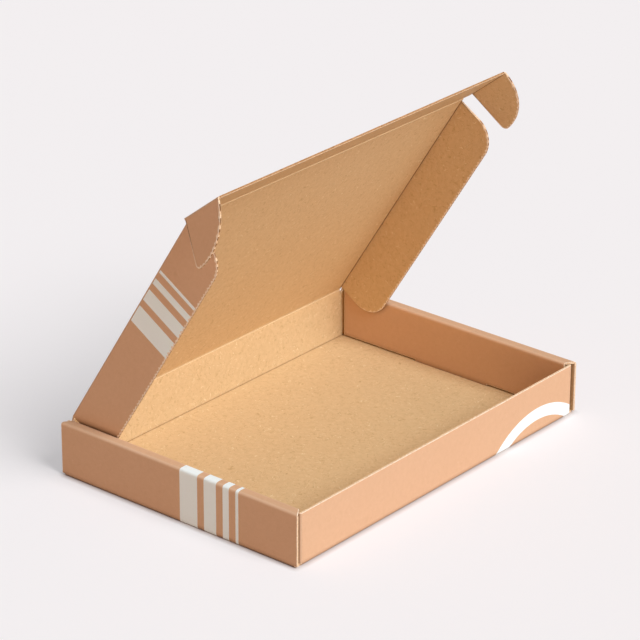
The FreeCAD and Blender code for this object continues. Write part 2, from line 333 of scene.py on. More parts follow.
class Draft:
    """Collects the closed shells of one piece and makes its mesh."""

    def __init__(self, name: str) -> None:
        """Starts an empty piece.

        Args:
            name: Name of the object.
        """
        self.name = name
        self.parts: list[tuple[Array, ...]] = []
        self.count = 0

    def shell(self, middle: Array, normal: Array, above: Values,
              below: Values, blank: Array, keep: Array | None = None,
              recess: Values = 0.0, wear: Values = 1.0,
              press: tuple[Values, Values] = (0.0, 0.0),
              finishes: tuple[Finish, ...] = BOARD_FINISHES) -> None:
        """Adds a closed shell. Its two faces are the middle grid moved by above and below along
        the normals. A cut edge is where the recess is more than nothing. There the faces end a
        worn width earlier and slope down to the edge, and the rim steps in by the recess between
        the two liners, so that the cut shows liner, medium, liner. In a thin board a liner takes
        two fifths of the half thickness, and wear takes at most four fifths of a liner.

        Args:
            middle: Grid of points of the board's middle surface.
            normal: Unit normals towards the first face, one for each point or for all.
            above: Distance of the first face.
            below: Distance of the second face.
            blank: Place of each point in the flat blank.
            keep: Grid cells that are board, or None for all.
            recess: Depth of the medium behind the cut liners.
            wear: How far a cut edge is worn, as a factor on its width and drop.
            press: Painted light on each face, from -1 for painted shade in a crease to 1 for a
                painted highlight on a bead.
            finishes: Finishes of the first face, the second face, the worn slope, the liners'
                cut and the hollow between them, where it is deep.
        """
        rows, columns = middle.shape[:2]
        total = rows * columns
        index = np.arange(total).reshape(rows, columns)
        cells = np.stack([index[:-1, :-1], index[1:, :-1], index[1:, 1:], index[:-1, 1:]], -1)
        cells = cells.reshape(-1, 4) if keep is None else cells[keep]
        above, below, recess, wear, *press = (
            np.broadcast_to(value, (rows, columns)).reshape(total)
            for value in (above, below, recess, wear, *press))
        flat, up = (grid.reshape(total, 3) for grid in np.broadcast_arrays(middle, normal))

        corner = flat[cells]
        facing = np.cross(corner[:, 1] - corner[:, 0], corner[:, 3] - corner[:, 0])
        facing += np.cross(corner[:, 3] - corner[:, 2], corner[:, 1] - corner[:, 2])
        if np.sum(facing * up[cells[:, 0]]) < 0:
            cells = cells[:, ::-1]
        start, end = cells.ravel(), np.roll(cells, -1, axis=1).ravel()
        edge = ~np.isin(start * total + end, end * total + start)
        start, end = start[edge], end[edge]
        rim = np.unique(start)
        rank = np.full(total, -1)
        rank[rim] = np.arange(len(rim))

        outward = np.zeros((total, 3))
        side = np.cross(flat[end] - flat[start], up[start])
        side /= np.linalg.norm(side, axis=1, keepdims=True) + 1e-12
        cut = (recess[start] > 0) & (recess[end] > 0)
        for ends in (start, end):
            np.add.at(outward, ends[cut], side[cut])
        outward = outward[rim] / (np.linalg.norm(outward[rim], axis=1, keepdims=True) + 1e-12)

        worn = (wear[rim] * (recess[rim] > 0))[:, None]
        faces = np.stack([flat + above[:, None] * up, flat - below[:, None] * up])
        faces[:, rim] -= BOARD.worn_width * worn * outward
        halves = []
        for away, sign in ((above[rim, None], 1), (below[rim, None], -1)):
            paper = np.minimum(BOARD.liner, 0.4 * away)
            drop = np.minimum(BOARD.worn_drop * worn, 0.8 * paper)
            brink = flat[rim] + sign * (away - drop) * up[rim]
            lip = flat[rim] + sign * (away - paper) * up[rim]
            halves.append([brink, lip, lip - recess[rim, None] * outward])
        levels = halves[0] + halves[1][::-1]

        first = self.count
        second, third = first + total, first + 2 * total
        steps = [first + rim, *(third + k * len(rim) + np.arange(len(rim))
                                for k in range(len(levels))), second + rim]
        bands = [np.stack([upper[rank[end]], upper[rank[start]],
                           lower[rank[start]], lower[rank[end]]], 1)
                 for upper, lower in zip(steps[:-1], steps[1:])]
        laid = blank.reshape(total, 2)
        slots = [finish.value for finish in finishes]
        worn_band, cut_band = (np.full(len(start), slot) for slot in slots[2:4])
        hollow = np.where(recess[start] > BOARD.deep_recess, slots[4], cut_band)
        self.parts.append(tuple(np.concatenate(part) for part in (
            [*faces, *levels], [laid, laid] + [laid[rim]] * len(levels),
            [*press, np.zeros(len(levels) * len(rim))],
            [first + cells, second + cells[:, ::-1]] + bands,
            [np.repeat(slots[:2], len(cells)), worn_band, cut_band, hollow, hollow, hollow,
             cut_band, worn_band])))
        self.count += 2 * total + len(levels) * len(rim)

    def make(self, materials: Materials) -> bpy.types.Object:
        """Makes the object. Points that no face uses are left out.

        Args:
            materials: Material of each finish.

        Returns:
            The object at the origin, with the flat blank as its UV map in metres and the painted
            highlight and shade of the paper as an attribute.
        """
        points, places, painted_levels, faces, finishes = (
            np.concatenate(part) for part in zip(*self.parts))
        used, faces = np.unique(faces, return_inverse=True)
        faces = faces.reshape(-1, 4)
        mesh = bpy.data.meshes.new(self.name)
        mesh.from_pydata((points[used] * MM).tolist(), [], faces.tolist())
        layer = mesh.uv_layers.new(name="Blank")
        laid = places[used][faces.ravel()] * MM
        layer.data.foreach_set("uv", laid.astype(np.float32).ravel())
        press = mesh.attributes.new("Press", "FLOAT", "POINT")
        press.data.foreach_set("value", painted_levels[used].astype(np.float32))
        mesh.polygons.foreach_set("material_index", finishes.astype(np.int32))
        mesh.polygons.foreach_set("use_smooth", np.ones(len(faces), bool))
        for finish in Finish:
            mesh.materials.append(materials[finish])
        mesh.update()
        mesh.set_sharp_from_angle(angle=math.radians(35))
        self.mark_borders(mesh, finishes)
        piece = bpy.data.objects.new(self.name, mesh)
        bpy.context.scene.collection.objects.link(piece)
        LOG.info("%s: %d faces", self.name, len(faces))
        return piece

    def mark_borders(self, mesh: bpy.types.Mesh, finishes: Array) -> None:
        """Marks as sharp each edge between two finishes, so that a face stays flat up to its cut.

        Args:
            mesh: The mesh, whose faces all have four corners.
            finishes: Number of each face's finish.
        """
        edges = np.empty(len(mesh.loops), np.int32)
        mesh.loops.foreach_get("edge_index", edges)
        corners = np.repeat(finishes, 4)
        least, most = np.full(len(mesh.edges), len(Finish)), np.full(len(mesh.edges), -1)
        np.minimum.at(least, edges, corners)
        np.maximum.at(most, edges, corners)
        sharp = np.empty(len(mesh.edges), bool)
        mesh.edges.foreach_get("use_edge_sharp", sharp)
        mesh.edges.foreach_set("use_edge_sharp", sharp | (least != most))


def folded_section(line: FoldLine, crease_light: float) -> tuple[Array, Array, Array, Array]:
    """Section of a folded board. The outer face is sunk at a crease by a bell curve, and the inner
    face is crushed there between two low beads. The outer fold gets a painted highlight, and
    the inner face, by the sign of crease_light, a painted highlight on the beads or a painted
    shade in the middle of the crease. A bell curve is e to the power of minus the square of
    the distance over the width.

    Args:
        line: The middle line.
        crease_light: Strength of the painted highlight on the inner face's beads beside the
            crease, or, if negative, of the painted shade in the middle of the crease.

    Returns:
        Distances of the outer and the inner face from the middle line, and the painted light on
        both, as columns with a value for each sample of the line.
    """
    away = np.abs(line.lengths[:, None] - line.creases).min(1, keepdims=True)

    def bell(centre: float, width: float) -> Array:
        """Bell curve of the distance from the crease."""
        return np.exp(-(((away - centre) / width) ** 2))

    # painted light: a highlight on the inner beads, or a shade in the middle of the crease, by the
    # sign of crease_light; the outer fold gets a painted highlight
    stripe = bell(BOARD.bead_highlight_offset, BOARD.bead_highlight_width) if crease_light > 0 else bell(0, BOARD.crease_shade_width)
    outer = BOARD.half - BOARD.crush_outer * bell(0, BOARD.crease_width)
    inner = (BOARD.half - BOARD.crush_inner * bell(0, 0.6 * BOARD.crease_width)
             + BOARD.bead * bell(BOARD.bead_offset, BOARD.bead_width))
    return outer, inner, BOARD.fold_highlight * bell(0, BOARD.crease_width), crease_light * stripe


def add_sheet(draft: Draft, plane: Plane, line: FoldLine, low: Values,
              high: Values, shares: Array, blank: tuple[float, float, bool],
              keep: Array | None = None, recess: Values = 0.0,
              crease_light: float = BOARD.crease_shade, side_shade: Values = 0.0,
              lift: Values = 0.0) -> None:
    """Adds a folded board: its middle line drawn along the plane's third direction, between
    limits that change along the line. A point is the line's point plus the low limit plus its
    share of the width. The outer face lies to the right of the line.

    Args:
        draft: Piece that takes the board.
        plane: Section plane.
        line: Middle line.
        low: Lower limit, one for all or one for each sample of the line.
        high: Upper limit, in the same way.
        shares: Rising numbers from 0 to 1 for the columns.
        blank: Length in the blank at the line's start, its sign, and whether it runs along U.
        keep: Cells that are board, or None for all.
        recess: Depth of the medium behind the cut liners.
        crease_light: Painted light on the inner face at its creases, as for the section.
        side_shade: Painted shade that each column adds to the inner face.
        lift: Move of each point along the plane's second direction.
    """
    shape = len(line.points), len(shares)
    low, high = (np.broadcast_to(limit, shape[0])[:, None] for limit in (low, high))
    spread = low + (high - low) * shares
    first = np.broadcast_to(line.points[:, :1], shape)
    second = np.broadcast_to(line.points[:, 1:] + lift, shape)
    middle = plane.place(first, second, spread)
    right = (np.multiply.outer(np.sin(line.headings), plane.across)
             - np.multiply.outer(np.cos(line.headings), plane.upward))
    outer, inner, outer_highlight, inner_painted_light = folded_section(line, crease_light)
    base, sign, runs_along_u = blank
    length = np.broadcast_to((base + sign * line.lengths)[:, None], shape)
    laid = np.stack([length, spread] if runs_along_u else [spread, length], -1)
    draft.shell(middle, right[:, None], outer, inner, laid, keep, recess,
                press=(outer_highlight, inner_painted_light + side_shade))


def even(count: int, *marks: float) -> Array:
    """Rising numbers from 0 to 1: even steps, with marks put in."""
    return np.unique(np.round(np.concatenate([np.linspace(0, 1, count + 1), marks]), 9))


def add_medium(draft: Draft, plane: Plane, low: float, high: float,
               edge_of: Chain, blank: tuple[float, float]) -> None:
    """Adds the wavy medium that shows between the liners along a cut edge. Its height is the wave
    height times the sine of a full turn for each flute pitch, and it runs from the cut edge
    inwards, along the flutes.

    Args:
        draft: Piece that takes the medium.
        plane: Plane whose first direction runs along the flutes, second is the outer normal
            and third runs across the flutes.
        low: First place across the flutes.
        high: Last place across the flutes.
        edge_of: Function from places across the flutes to the place of the cut edge.
        blank: Place of the plane's origin in the blank.
    """
    across = np.linspace(low, high, int((high - low) / BOARD.pitch * BOARD.wave_steps_per_flute))
    turn = 2 * math.pi * across / BOARD.pitch
    slope = BOARD.wave * 2 * math.pi / BOARD.pitch * np.cos(turn)
    edge = edge_of(across)
    reach = np.stack([edge - BOARD.cell_depth, edge - BOARD.medium_recess], 1)
    rise, along = (np.broadcast_to(value[:, None], reach.shape)
                   for value in (BOARD.wave * np.sin(turn), across))
    middle = plane.place(reach, rise, along)
    lean = (plane.upward - np.multiply.outer(slope, plane.along)) / np.sqrt(1 + slope ** 2)[:, None]
    draft.shell(middle, lean[:, None], BOARD.medium / 2, BOARD.medium / 2,
                np.stack([blank[0] + reach, blank[1] + along], -1), finishes=(Finish.MEDIUM,) * 5)


def flute_wear(across: Array) -> Array:
    """Wear of an edge that is cut across the flutes. It follows the flutes as one plus a sine of
    a full turn for each pitch, and a slower and a faster sine make it uneven.

    Args:
        across: Places across the flutes.

    Returns:
        Factors for the worn width and drop.
    """
    turn = 2 * math.pi * across / BOARD.pitch
    slower, faster = 0.25 * np.sin(0.43 * turn + 1), 0.2 * np.sin(1.71 * turn + 2)
    return BOARD.flap_wear * np.maximum(1 + 0.6 * np.sin(turn) + slower + faster, 0.15)


def cell_recess(across: Array, open_share: Array) -> Array:
    """Depth of the hollow behind an edge that is cut across the flutes. The knife has pressed the
    board nearly shut over a part of each flute, which is where a sine of a full turn for each
    pitch is low, and left it open over the rest.

    Args:
        across: Places across the flutes.
        open_share: Share of the full cell depth at each place.

    Returns:
        Depths in millimetres.
    """
    left_open = np.clip(0.25 + 1.5 * np.sin(2 * math.pi * across / BOARD.pitch + 2.4), 0, 1)
    return BOARD.cut_recess + (BOARD.cell_depth - BOARD.cut_recess) * open_share * left_open


@dataclass(frozen=True)
class Panels:
    """Sheets of one blank: their materials and the sizes of the box."""

    materials: Materials
    sizes: BoxSizes = SIZES

    def hand_over(self, draft: Draft, body: str, node: str) -> None:
        """Makes a finished sheet, which stands for its CAD node and rides on its body.

        Args:
            draft: The piece.
            body: Body that carries it.
            node: Node that it stands for.
        """
        piece = draft.make(self.materials)
        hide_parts(node)
        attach(piece, body)


@dataclass(frozen=True)
class Tray(Panels):
    """Base, walls, rolled ends and corner flaps, folded from one sheet."""

    def add_base_and_walls(self, draft: Draft) -> None:
        """Adds front wall, base and back wall as one folded board along X, with the slots for
        the locking tabs cut out and the relief cuts hollowed in the top of the back wall.

        Args:
            draft: Piece that takes the board.
        """
        s, r, half = self.sizes, BOARD.bend_radius, BOARD.half
        base_half = s.wall_middle - r
        base = Run(2 * base_half, (base_half - s.slot_half, base_half + s.slot_half))
        line = fold_line((-s.wall_middle, s.front_top), -90,
                         (Run(s.front_top - half - r), Bend(90), base, Bend(90),
                          Run(s.back_top - half - r)))
        edge, wall = s.outer - half - r, s.corner_flap - r
        turn = np.linspace(0, math.pi, BOARD.relief_points)
        relief = s.relief_centre + s.relief_radius * np.cos(turn)
        marks = np.concatenate([[wall, s.slot_inner, s.slot_outer, s.lid_half], relief])
        shares = even(24, *((marks / edge + 1) / 2), *((1 - marks / edge) / 2))
        place = (shares * 2 - 1) * edge
        centre = np.abs(place[:-1] + place[1:]) / 2
        along, height = line.points.T
        depth = np.abs(along[:-1] + along[1:]) / 2
        flat = np.abs(height - half) < TINY
        on_base = (flat[:-1] & flat[1:])[:, None]
        slot = (depth < s.slot_half)[:, None] & (centre > s.slot_inner) & (centre < s.slot_outer)
        keep = (on_base | (centre < wall)) & ~(on_base & slot)
        recess, lift = np.zeros((2, len(along), len(shares)))
        recess[0] = recess[-1, np.abs(place) > s.lid_half - TINY] = BOARD.cut_recess
        off = np.abs(np.abs(place) - s.relief_centre)
        lift[-1] = -np.sqrt(np.maximum(s.relief_radius ** 2 - off ** 2, 0))
        add_sheet(draft, BOX_SECTION, line, -edge, edge, shares,
                  (-s.wall_middle - s.front_top, 1, False), keep, recess, lift=lift)

    def add_rolled_end(self, draft: Draft, side: Side) -> None:
        """Adds side panel, spine, inner panel and locking tab as one board that turns up, over and
        down. The spine's ends are mitred, so that the width shrinks evenly across it.

        Args:
            draft: Piece that takes the board.
            side: End of the box.
        """
        s, r, half = self.sizes, BOARD.bend_radius, BOARD.half
        outer, inner, top = s.outer - half, s.inner + half, s.height - half
        line = fold_line((outer - r, half), 0,
                         (Bend(90), Run(top - half - 2 * r), Bend(90), Run(outer - inner - 2 * r),
                          Bend(90), Run(top - r - s.tab_low, (top - r - s.panel_low,))))
        x, z = line.points.T
        inside = (x < (outer + inner) / 2) & (z < top - r)
        mitre = np.clip((x - inner) / (outer - inner), 0, 1)
        wide = s.panel_end + (s.side_end - s.panel_end) * mitre
        wide = np.where(z < half + r, np.minimum(wide, s.wall_middle - r), wide)
        wide = np.where(inside, s.panel_end, wide)
        shares = even(26, *((1 + np.array([-1, 1]) * s.tab_half / s.panel_end) / 2))
        centre = np.abs(shares[:-1] + shares[1:] - 1) * s.panel_end
        tab_row = inside[:-1] & (z[:-1] + z[1:] < 2 * s.panel_low)
        recess = np.zeros((len(x), len(shares)))
        recess[1:, [0, -1]] = BOARD.cut_recess
        recess[inside & (z < s.panel_low + TINY)] = BOARD.cut_recess
        add_sheet(draft, Plane(ORIGIN, X_AXIS * side.value, Z_AXIS, Y_AXIS), line, -wide, wide,
                  shares, (side.value * (outer - r), side.value, True),
                  ~(tab_row[:, None] & (centre > s.tab_half)), recess)

    def add_corner_flap(self, draft: Draft, side: Side, front: bool) -> None:
        """Adds the bend at the end of a wall and the corner flap caught in the rolled end. The
        flap is lower than the wall, and its limits fall to their own evenly along its neck.

        Args:
            draft: Piece that takes the board.
            side: End of the box.
            front: Whether the flap belongs to the front wall.
        """
        s, r = self.sizes, BOARD.bend_radius
        line = fold_line((s.corner_flap - r, -s.wall_middle), 0,
                         (Bend(90), Run(s.wall_middle - r - s.flap_gap)))
        top = s.front_top if front else s.back_top
        done = np.clip((line.lengths - s.neck_start) / s.neck_length, 0, 1)
        low = BOARD.half + r + (s.flap_low - BOARD.half - r) * done
        high = top + (s.flap_high - top) * done
        shares = even(8)
        recess = np.zeros((len(line.points), len(shares)))
        recess[1:, 0] = recess[:, -1] = recess[-1] = BOARD.cut_recess
        plane = Plane(ORIGIN, X_AXIS * side.value, Y_AXIS if front else -Y_AXIS, Z_AXIS)
        add_sheet(draft, plane, line, low, high, shares,
                  (side.value * (s.corner_flap - r), side.value, True), None, recess)

    def build(self) -> None:
        """Builds the tray's sheet and puts it on its body."""
        draft = Draft("tray_sheet")
        self.add_base_and_walls(draft)
        for side in Side:
            self.add_rolled_end(draft, side)
            self.add_corner_flap(draft, side, True)
            self.add_corner_flap(draft, side, False)
        self.hand_over(draft, "tray", "tray")


@dataclass(frozen=True)
class Lid(Panels):
    """Lid panel, tuck flap, dust flaps and ears, with the creases between them."""

    @property
    def lid(self) -> Plane:
        """Plane from the hinge to the front crease, and into the box."""
        s = self.sizes
        return Plane(unit(0, s.wall_middle, s.height),
                     *turned(-Y_AXIS, -Z_AXIS, -s.lid_open), X_AXIS)

    @property
    def tuck(self) -> Plane:
        """Plane from the front crease to the tuck flap's free edge, and into the box."""
        lid, s = self.lid, self.sizes
        return Plane(lid.origin + s.lid_length * lid.across,
                     *turned(lid.across, lid.upward, s.tuck_fold), X_AXIS)

    def build_panel(self) -> None:
        """near the sides, where a painted shade darkens the inner face evenly towards the dust
        flaps' creases."""
        s, reach = self.sizes, BOARD.crease_reach
        near = np.array([0.3, 0.6, 1.0, 1.5])
        length = s.lid_length - 2 * reach
        line = fold_line((reach, 0), 0, (Run(length, (*near, *(length - near))),))
        line = replace(line, creases=np.array([-reach, s.lid_length - reach]))
        margin = BOARD.side_shade_reach * np.array([1, 2, 3]) / 3 / (2 * s.lid_half)
        shares = even(24, *margin, *(1 - margin))
        from_side = 2 * s.lid_half * np.minimum(shares, 1 - shares)
        draft = Draft("lid_sheet")
        # painted shade on the inner face beside the dust flaps' creases, and painted highlight
        # beside the hinge and front creases
        add_sheet(draft, self.lid, line, -s.lid_half, s.lid_half, shares,
                  (s.blank_hinge + reach, 1, False), crease_light=1.0,
                  side_shade=BOARD.flap_crease_shade * np.clip(1 - from_side / BOARD.side_shade_reach, 0, 1))
        self.hand_over(draft, "lid", "lid_panel")

    def build_tuck(self) -> None:
        """Builds the tuck flap. It is wider than the lid, so its ends start on the crease line, and
        its free corners are quarter circles. Two points of the free edge lie half a millimetre
        either side of the lid's side, and both join the lid's corner."""
        s, radius = self.sizes, self.sizes.tuck_corner
        turn = np.linspace(0, math.pi / 2, BOARD.tuck_points)
        along = np.concatenate([radius * (1 - np.cos(turn)) - s.tuck_half,
                                [-s.lid_half - 0.5, -s.lid_half + 0.5],
                                np.linspace(-s.lid_half + 4, 0, 12)])
        along = np.concatenate([along, -along[-2::-1]])
        corner = np.zeros(len(along))
        corner[:len(turn)] = radius * (1 - np.sin(turn))
        far = np.stack([s.tuck_depth - corner - corner[::-1], along], 1)
        reach = np.where(np.abs(along) < s.lid_half, BOARD.crease_reach, 0.0)
        beside = np.abs(np.abs(along) - s.lid_half) < 1
        near = np.stack([reach, np.where(beside, np.copysign(s.lid_half, along), along)], 1)
        recess = np.stack([np.where(reach > 0, 0.0, BOARD.cut_recess),
                           np.full(len(along), BOARD.slit_recess)])
        recess[:, [0, -1]] = 0.0
        draft = Draft("tuck_flap_sheet")
        self.add_plate(draft, self.tuck,
                       Plane(unit(0, s.blank_hinge + s.lid_length), unit(0, 1), unit(0, 0),
                             unit(1, 0)), near, far, recess)
        self.hand_over(draft, "tuck", "tuck_flap")

    def build_flap(self, side: Side) -> None:
        """Builds a dust flap with round free corners and open flutes along its free edge.

        Args:
            side: End of the box.
        """
        s, lid, radius = self.sizes, self.lid, self.sizes.flap_corner
        outward, blank = X_AXIS * side.value, s.lid_half + BOARD.half
        arc = radius * (1 - np.cos(np.linspace(0, math.pi / 2, BOARD.corner_points)))
        length = s.flap_end - s.flap_start - 2 * radius
        straight = np.linspace(s.flap_start + radius, s.flap_end - radius,
                               int(length / BOARD.pitch * BOARD.steps_per_flute))[1:-1]
        along = np.concatenate([s.flap_start + arc, straight, s.flap_end - arc[::-1]])

        def edge_of(across: Array) -> Array:
            """Depth of the free edge: flat, less the quarter circles at both ends.

            Args:
                across: Places along the crease.

            Returns:
                Reaches from the crease.
            """
            near = np.minimum(across - s.flap_start, s.flap_end - across)
            inside = np.maximum(radius - near, 0)
            return s.flap_depth - radius + np.sqrt(np.maximum(radius ** 2 - inside ** 2, 0))

        depth = edge_of(along)
        recess = np.zeros((2, len(along)))
        recess[0, [0, -1]] = BOARD.cut_recess
        recess[1] = cell_recess(along, (depth - depth[0]) / radius)
        origin = lid.origin + outward * blank + lid.upward * BOARD.half
        self.build_fluted(f"dust_flap_{side.word}_sheet",
                          (f"flap_{side.word}", f"lid_flap_{side.word}"),
                          Plane(origin, lid.upward, -outward, lid.across),
                          (side.value * blank, s.blank_hinge), side, s.flap_room,
                          np.stack([depth, along], 1), recess, flute_wear(along), edge_of,
                          s.flap_end - BOARD.medium_end)

    def build_ear(self, side: Side) -> None:
        """Builds a locking ear: a quarter disc about the near end of its crease, whose tip is
        rounded by a small circle that touches the straight edge and the arc. The arc ends a
        little before the crease, on a short straight piece.

        Args:
            side: End of the box.
        """
        s, tuck, outward = self.sizes, self.tuck, X_AXIS * side.value
        away, inner = turned(outward, tuck.upward, s.ear_fold)
        centre = math.sqrt((s.ear_radius - s.ear_tip) ** 2 - s.ear_tip ** 2)
        touch = math.asin(centre / (s.ear_radius - s.ear_tip))
        small = np.linspace(0, math.pi - touch, BOARD.tip_points)
        large = np.linspace(touch, math.asin(s.ear_foot / s.ear_radius), BOARD.disc_points)[1:]
        depth = np.concatenate([centre + s.ear_tip * np.sin(small), s.ear_radius * np.sin(large)])
        along = s.ear_start + np.concatenate([s.ear_tip * (1 - np.cos(small)),
                                              s.ear_radius * np.cos(large)])

        def edge_of(across: Array) -> Array:
            """Reach of the ear's round edge: the disc, or the small circle at its tip.

            Args:
                across: Places along the crease.

            Returns:
                Reaches from the crease.
            """
            place = across - s.ear_start
            disc = np.sqrt(np.maximum(s.ear_radius ** 2 - place ** 2, 0))
            tip = centre + np.sqrt(np.maximum(s.ear_tip ** 2 - (s.ear_tip - place) ** 2, 0))
            return np.where(place < s.ear_tip, tip, disc)

        recess = np.zeros((2, len(along)))
        recess[1] = cell_recess(along, np.clip((along - s.ear_start) / s.ear_tip, 0, 1))
        recess[1, -BOARD.foot_points:] = recess[0, 0] = recess[0, -1] = BOARD.cut_recess
        wear = flute_wear(along)
        wear[:len(small)] = BOARD.tip_wear
        name = f"ear_{side.word}"
        self.build_fluted(f"{name}_sheet", (name, name),
                          Plane(tuck.origin + outward * s.ear_axis, away, inner, tuck.across),
                          (side.value * s.ear_axis, s.blank_hinge + s.lid_length), side,
                          BOARD.crease_reach, np.stack([depth, along], 1), recess, wear,
                          edge_of, s.ear_start + s.ear_radius - 2 * BOARD.medium_end)

    def build_fluted(self, name: str, owners: tuple[str, str], plane: Plane,
                     blank: tuple[float, float], side: Side, start: float, far: Array,
                     recess: Array, wear: Array,
                     edge_of: Chain, last: float) -> None:
        """Builds a flap whose free edge shows the open flutes with their wavy medium.

        Args:
            name: Name of the piece.
            owners: Body that carries it and node that it stands for.
            plane: Plane as for a plate.
            blank: Place of the plane's origin in the flat blank.
            side: End of the box.
            start: Reach from the crease where the flap starts.
            far: Points of the free edge, as for a plate.
            recess: Depth behind the cut, as for a plate.
            wear: Wear of the cut at each point.
            edge_of: Function from places along the crease to the reach of the free edge.
            last: Place along the crease where the medium ends.
        """
        draft = Draft(name)
        self.add_plate(draft, plane, Plane(unit(*blank), unit(side.value, 0), unit(0, 0),
                                           unit(0, 1)), far * (0, 1) + (start, 0), far, recess,
                       wear)
        add_medium(draft, replace(plane, upward=-plane.upward),
                   far[:, 1].min() + BOARD.medium_end, last, edge_of, blank)
        self.hand_over(draft, *owners)

    def add_plate(self, draft: Draft, plane: Plane, blank: Plane, near: Array,
                  far: Array, recess: Array, wear: Values = 1.0) -> None:
        """Adds a flat flap between a chain of points at its crease and one along its free edge.
        Both chains have as many points, and each pair gives one edge across the flap.

        Args:
            draft: Piece that takes the board.
            plane: Plane whose first direction leads from the crease to the free edge, second away
                from the outside and third along the crease.
            blank: The same directions in the flat blank.
            near: Reach from the crease and place along it for each point at the crease.
            far: The same for each point of the free edge.
            recess: Depth of the medium behind the cut for both chains, or nothing at a seam.
            wear: Wear of the cut at each pair.
        """
        first, third = np.stack([near, far]).transpose(2, 0, 1)
        second = np.zeros(first.shape)
        draft.shell(plane.place(first, second, third), -plane.upward, BOARD.half, BOARD.half,
                    blank.place(first, second, third), None, recess, wear)

    def build_crease(self, name: str, plane: Plane, line: FoldLine, limits: tuple[float, float],
                     bodies: tuple[str, str], blank: tuple[float, float, bool],
                     crease_light: float) -> None:
        """Builds the pressed board of a crease.

        Args:
            name: Name of the piece.
            plane: Section plane.
            line: Middle line across the crease.
            limits: Where the crease starts and ends along its length.
            bodies: The bodies before and after the crease; not used.
            blank: Place in the blank, as for a sheet.
            crease_light: Painted light on its inner face, as for a sheet.
        """
        draft = Draft(name)
        add_sheet(draft, plane, line, *limits, even(12), blank, crease_light=crease_light)
        piece = draft.make(self.materials)
        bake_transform(piece)

    def build_creases(self) -> None:
        """Builds the six creases."""
        s, reach, lid, tuck = self.sizes, BOARD.crease_reach, self.lid, self.tuck
        wide = (-s.lid_half, s.lid_half)
        line = crease_line((s.wall_middle, s.height - reach), 90, 90 - s.lid_open)
        self.build_crease("hinge_crease", BOX_SECTION, line, wide, ("tray", "lid"),
                          (s.blank_hinge - reach, 1, False), 1.0)
        line = crease_line((s.lid_length - reach, 0), 0, s.tuck_fold)
        self.build_crease("tuck_crease", lid, line, wide, ("lid", "tuck"),
                          (s.blank_hinge + s.lid_length - reach, 1, False), 1.0)
        for side in Side:
            sign, outward = side.value, X_AXIS * side.value
            line = fold_line((s.lid_half, 0), 0, (Bend(90, BOARD.half), Run(s.flap_room)))
            self.build_crease(f"dust_flap_{side.word}_crease",
                              Plane(lid.origin, outward, lid.upward, lid.across), line,
                              (s.flap_start, s.flap_end), ("lid", f"flap_{side.word}"),
                              (sign * s.lid_half, sign, True), -1.0)
            line = crease_line((s.ear_axis - reach, 0), 0, s.ear_fold)
            self.build_crease(f"ear_{side.word}_crease",
                              Plane(tuck.origin, outward, tuck.upward, tuck.across), line,
                              (s.ear_start, s.ear_start + s.ear_radius),
                              ("tuck", f"ear_{side.word}"),
                              (sign * (s.ear_axis - reach), sign, True), -1.0)

    def build(self) -> None:
        """Builds the lid with everything that hangs on it."""
        self.build_panel()
        self.build_tuck()
        for side in Side:
            self.build_flap(side)
            self.build_ear(side)
        self.build_creases()


def linear(code: str) -> tuple[float, float, float, float]:
    """An sRGB hex colour as linear red, green, blue and full alpha.

    Args:
        code: Six hex digits.

    Returns:
        The linear colour.
    """
    shares = np.array([int(code[k:k + 2], 16) for k in (0, 2, 4)]) / 255
    low = shares <= 0.04045
    value = np.where(low, shares / 12.92, ((shares + 0.055) / 1.055) ** 2.4)
    return (*value.tolist(), 1.0)


